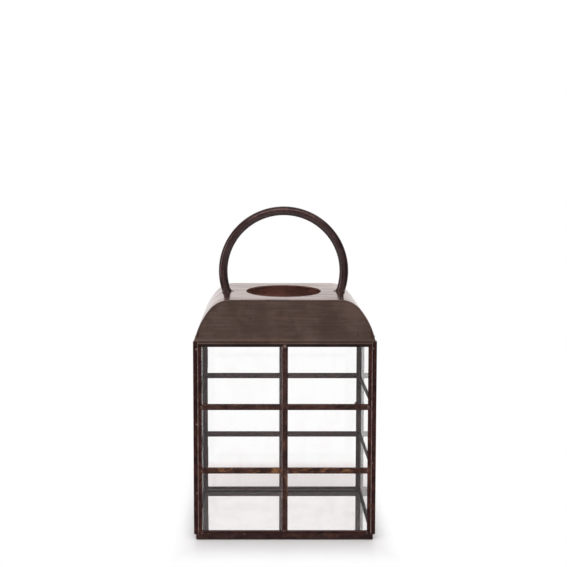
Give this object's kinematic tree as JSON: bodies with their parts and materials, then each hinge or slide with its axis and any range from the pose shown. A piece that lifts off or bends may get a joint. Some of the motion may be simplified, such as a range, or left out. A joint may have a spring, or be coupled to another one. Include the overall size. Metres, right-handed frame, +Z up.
{
  "type": "candle lantern",
  "caption": "Glazed candle lantern: soldered came walls, a hinged rear door, a mirror floor, a bent sheet roof with a round chimney hole and a bow handle.",
  "frame": {"origin": "middle of the underside of the base tray, where the lantern stands", "axes": "+Z up, +X to the right seen from the front, +Y from the front wall to the door"},
  "size_m": [0.2, 0.1332, 0.3664],
  "materials": {
    "came_metal": "dark burnished, soldered",
    "roof_metal": "dark burnished sheet, semi-gloss",
    "tray_metal": "dark burnished sheet",
    "handle_metal": "dark burnished bar",
    "fittings": "dark worn metal",
    "pane_glass": "clear polished",
    "mirror": "bright mirror"
  },
  "bodies": {
    "lantern": {"base_tray": "tray_metal", "mirror_plate": "mirror", "front_left_stile": "came_metal", "front_right_stile": "came_metal", "front_head_rail": "came_metal", "front_sill_rail": "came_metal", "front_mullion": "came_metal", "front_upper_bars": "came_metal", "front_lower_bars": "came_metal", "front_pane_top_left": "pane_glass", "front_pane_top_right": "pane_glass", "front_pane_mid_left": "pane_glass", "front_pane_mid_right": "pane_glass", "front_pane_low_left": "pane_glass", "front_pane_low_right": "pane_glass", "left_front_stile": "came_metal", "left_rear_stile": "came_metal", "left_top_rail": "came_metal", "left_sill_rail": "came_metal", "left_upper_bar": "came_metal", "left_lower_bar": "came_metal", "left_pane_top": "pane_glass", "left_pane_mid": "pane_glass", "left_pane_low": "pane_glass", "right_front_stile": "came_metal", "right_rear_stile": "came_metal", "right_top_rail": "came_metal", "right_sill_rail": "came_metal", "right_upper_bar": "came_metal", "right_lower_bar": "came_metal", "right_pane_top": "pane_glass", "right_pane_mid": "pane_glass", "right_pane_low": "pane_glass", "rear_head_rail": "came_metal", "door_stop": "came_metal", "hinge_post_leaves": "fittings", "hinge_pins": "fittings", "turn_button_rivet": "fittings", "roof_sheet": "roof_metal", "roof_front_plate": "roof_metal", "roof_rear_plate": "roof_metal", "handle": "handle_metal", "handle_brazes": "handle_metal"},
    "door": {"door_hinge_stile": "came_metal", "door_latch_stile": "came_metal", "door_top_rail": "came_metal", "door_bottom_rail": "came_metal", "door_mullion": "came_metal", "door_upper_bars": "came_metal", "door_lower_bars": "came_metal", "door_pane_top_left": "pane_glass", "door_pane_top_right": "pane_glass", "door_pane_mid_left": "pane_glass", "door_pane_mid_right": "pane_glass", "door_pane_low_left": "pane_glass", "door_pane_low_right": "pane_glass", "door_knob": "fittings", "hinge_door_leaves": "fittings"},
    "turn_button": {"turn_button": "fittings"}
  },
  "joints": [
    {"name": "door_hinge", "type": "hinge", "parent": "lantern", "child": "door", "pos_m": [-0.09575, 0.0644, 0.1], "axis": [0, 0, 1], "range_deg": [0, 170]},
    {"name": "turn_button_pivot", "type": "hinge", "parent": "lantern", "child": "turn_button", "pos_m": [0.098, 0.0632, 0.14084], "axis": [0, 1, 0], "range_deg": [0, 90]}
  ]
}
